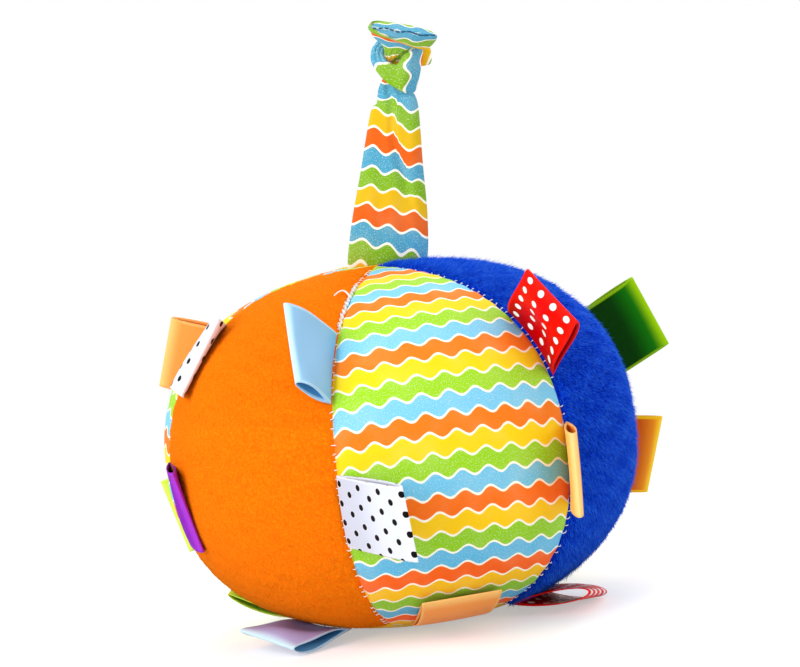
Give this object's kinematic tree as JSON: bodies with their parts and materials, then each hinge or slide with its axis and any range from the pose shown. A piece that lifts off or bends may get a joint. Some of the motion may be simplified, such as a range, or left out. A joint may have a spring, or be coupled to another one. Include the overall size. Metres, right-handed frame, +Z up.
{
  "type": "sensory_ball",
  "caption": "Stuffed cloth sensory ball of plush and wavy striped panels, with folded ribbon tags in its seams, a knotted hanging strap on top and a rattle inside",
  "frame": {"origin": "centre of the flat face under the base patch, that the ball rests on", "axes": "+Z up through the hanging strap, -Y the front of the ball, +X to the right of a viewer in front"},
  "size_m": [0.1628, 0.1724, 0.1782],
  "materials": {
    "orange_plush": "matte",
    "blue_plush": "matte",
    "yellow_plush": "matte",
    "striped_cotton": "matte",
    "yellow_cotton": "matte",
    "polyester_fill": "matte",
    "light_blue_satin": "satin",
    "white_dotted_ribbon": "satin",
    "red_dotted_ribbon": "satin",
    "peach_ribbon": "satin",
    "green_satin": "satin",
    "amber_ribbon": "satin",
    "turquoise_satin": "satin",
    "pink_satin": "satin",
    "lime_ribbon": "satin",
    "purple_grosgrain": "matte",
    "blue_satin": "satin",
    "lilac_satin": "satin",
    "capsule_shell": "gloss",
    "capsule_lid": "gloss",
    "bead_plastic": "gloss"
  },
  "bodies": {
    "cover": {"panel_orange_plush": "orange_plush", "panel_striped_front": "striped_cotton", "panel_blue_plush": "blue_plush", "panel_striped_right": "striped_cotton", "panel_yellow_plush": "yellow_plush", "panel_striped_left": "striped_cotton", "base_patch": "yellow_cotton", "fibre_filling": "polyester_fill", "rattle_cup": "capsule_shell", "rattle_lid": "capsule_lid"},
    "beads": {"rattle_beads": "bead_plastic"},
    "strap": {"hanging_strap": "striped_cotton"},
    "ribbon_light_blue_upper": {"tag_light_blue_upper": "light_blue_satin"},
    "ribbon_white_dotted_lower": {"tag_white_dotted_lower": "white_dotted_ribbon"},
    "ribbon_red_dotted_upper": {"tag_red_dotted_upper": "red_dotted_ribbon"},
    "ribbon_peach_lower": {"tag_peach_lower": "peach_ribbon"},
    "ribbon_green_upper": {"tag_green_upper": "green_satin"},
    "ribbon_amber_lower": {"tag_amber_lower": "amber_ribbon"},
    "ribbon_turquoise_upper": {"tag_turquoise_upper": "turquoise_satin"},
    "ribbon_pink_lower": {"tag_pink_lower": "pink_satin"},
    "ribbon_peach_upper": {"tag_peach_upper": "peach_ribbon"},
    "ribbon_lime_lower": {"tag_lime_lower": "lime_ribbon"},
    "ribbon_white_dotted_upper": {"tag_white_dotted_upper": "white_dotted_ribbon"},
    "ribbon_purple_lower": {"tag_purple_lower": "purple_grosgrain"},
    "ribbon_peach_base": {"tag_peach_base": "peach_ribbon"},
    "ribbon_red_dotted_base": {"tag_red_dotted_base": "red_dotted_ribbon"},
    "ribbon_green_base": {"tag_green_base": "green_satin"},
    "ribbon_blue_base": {"tag_blue_base": "blue_satin"},
    "ribbon_lime_base": {"tag_lime_base": "lime_ribbon"},
    "ribbon_lilac_base": {"tag_lilac_base": "lilac_satin"}
  },
  "joints": [
    {"name": "bend_light_blue_upper", "type": "hinge", "parent": "cover", "child": "ribbon_light_blue_upper", "pos_m": [-0.01705, -0.05577, 0.08513], "axis": [0.1911, 0.6251, 0.7568], "range_deg": [-40, 104], "stiffness_Nm_per_rad": 0.001},
    {"name": "bend_white_dotted_lower", "type": "hinge", "parent": "cover", "child": "ribbon_white_dotted_lower", "pos_m": [-0.02011, -0.06578, 0.04496], "axis": [-0.0292, -0.0956, 0.995], "range_deg": [-126, 18], "stiffness_Nm_per_rad": 0.001},
    {"name": "bend_red_dotted_upper", "type": "hinge", "parent": "cover", "child": "ribbon_red_dotted_upper", "pos_m": [0.04081, -0.04376, 0.08328], "axis": [-0.4172, 0.4474, 0.7911], "range_deg": [-49, 95], "stiffness_Nm_per_rad": 0.001},
    {"name": "bend_peach_lower", "type": "hinge", "parent": "cover", "child": "ribbon_peach_lower", "pos_m": [0.04706, -0.05047, 0.04797], "axis": [0.0342, -0.0367, 0.9987], "range_deg": [-27, 117], "stiffness_Nm_per_rad": 0.001},
    {"name": "bend_green_upper", "type": "hinge", "parent": "cover", "child": "ribbon_green_upper", "pos_m": [0.06448, 0.01489, 0.07177], "axis": [-0.3328, -0.0768, 0.9398], "range_deg": [-89, 55], "stiffness_Nm_per_rad": 0.001},
    {"name": "bend_amber_lower", "type": "hinge", "parent": "cover", "child": "ribbon_amber_lower", "pos_m": [0.06583, 0.0152, 0.03782], "axis": [0.2358, 0.0544, 0.9703], "range_deg": [-109, 35], "stiffness_Nm_per_rad": 0.001},
    {"name": "bend_turquoise_upper", "type": "hinge", "parent": "cover", "child": "ribbon_turquoise_upper", "pos_m": [0.0181, 0.0592, 0.08036], "axis": [-0.1589, -0.5198, 0.8394], "range_deg": [-92, 52], "stiffness_Nm_per_rad": 0.001},
    {"name": "bend_pink_lower", "type": "hinge", "parent": "cover", "child": "ribbon_pink_lower", "pos_m": [0.01994, 0.06522, 0.04077], "axis": [0.0526, 0.1721, 0.9837], "range_deg": [-37, 107], "stiffness_Nm_per_rad": 0.001},
    {"name": "bend_peach_upper", "type": "hinge", "parent": "cover", "child": "ribbon_peach_upper", "pos_m": [-0.04384, 0.04701, 0.07619], "axis": [0.3035, -0.3255, 0.8955], "range_deg": [-119, 25], "stiffness_Nm_per_rad": 0.001},
    {"name": "bend_lime_lower", "type": "hinge", "parent": "cover", "child": "ribbon_lime_lower", "pos_m": [-0.04597, 0.0493, 0.03724], "axis": [-0.1737, 0.1863, 0.967], "range_deg": [-123, 21], "stiffness_Nm_per_rad": 0.001},
    {"name": "bend_white_dotted_upper", "type": "hinge", "parent": "cover", "child": "ribbon_white_dotted_upper", "pos_m": [-0.05444, -0.00814, 0.08855], "axis": [0.7204, 0.1077, 0.6852], "range_deg": [-148, 1], "stiffness_Nm_per_rad": 0.001},
    {"name": "bend_purple_lower", "type": "hinge", "parent": "cover", "child": "ribbon_purple_lower", "pos_m": [-0.06774, -0.01012, 0.04256], "axis": [-0.1429, -0.0214, 0.9895], "range_deg": [-152, 1], "stiffness_Nm_per_rad": 0.001},
    {"name": "bend_peach_base", "type": "hinge", "parent": "cover", "child": "ribbon_peach_base", "pos_m": [0.00672, -0.03456, 0.00411], "axis": [-0.9816, -0.1908, 0], "range_deg": [-12, 1], "stiffness_Nm_per_rad": 0.001},
    {"name": "bend_red_dotted_base", "type": "hinge", "parent": "cover", "child": "ribbon_red_dotted_base", "pos_m": [0.03191, -0.01488, 0.00411], "axis": [-0.4226, -0.9063, 0], "range_deg": [-4, 7], "stiffness_Nm_per_rad": 0.001},
    {"name": "bend_green_base", "type": "hinge", "parent": "cover", "child": "ribbon_green_base", "pos_m": [0.02575, 0.02401, 0.00411], "axis": [0.682, -0.7314, 0], "range_deg": [-8, 6], "stiffness_Nm_per_rad": 0.001},
    {"name": "bend_blue_base", "type": "hinge", "parent": "cover", "child": "ribbon_blue_base", "pos_m": [-0.00792, 0.0343, 0.00411], "axis": [0.9744, 0.225, 0], "range_deg": [-8, 6], "stiffness_Nm_per_rad": 0.001},
    {"name": "bend_lime_base", "type": "hinge", "parent": "cover", "child": "ribbon_lime_base", "pos_m": [-0.03442, 0.00742, 0.00411], "axis": [0.2107, 0.9775, 0], "range_deg": [-12, 4], "stiffness_Nm_per_rad": 0.001},
    {"name": "bend_lilac_base", "type": "hinge", "parent": "cover", "child": "ribbon_lilac_base", "pos_m": [-0.02917, -0.01971, 0.00411], "axis": [-0.56, 0.8285, 0], "range_deg": [-5, 5], "stiffness_Nm_per_rad": 0.001},
    {"name": "strap_bend", "type": "hinge", "parent": "cover", "child": "strap", "pos_m": [0.0036, 0, 0.10695], "axis": [1, 0, 0], "range_deg": [-75, 75], "stiffness_Nm_per_rad": 0.01},
    {"name": "bead_travel", "type": "slide", "parent": "cover", "child": "beads", "axis": [0, 0, 1], "range_m": [0, 0.0212]}
  ]
}
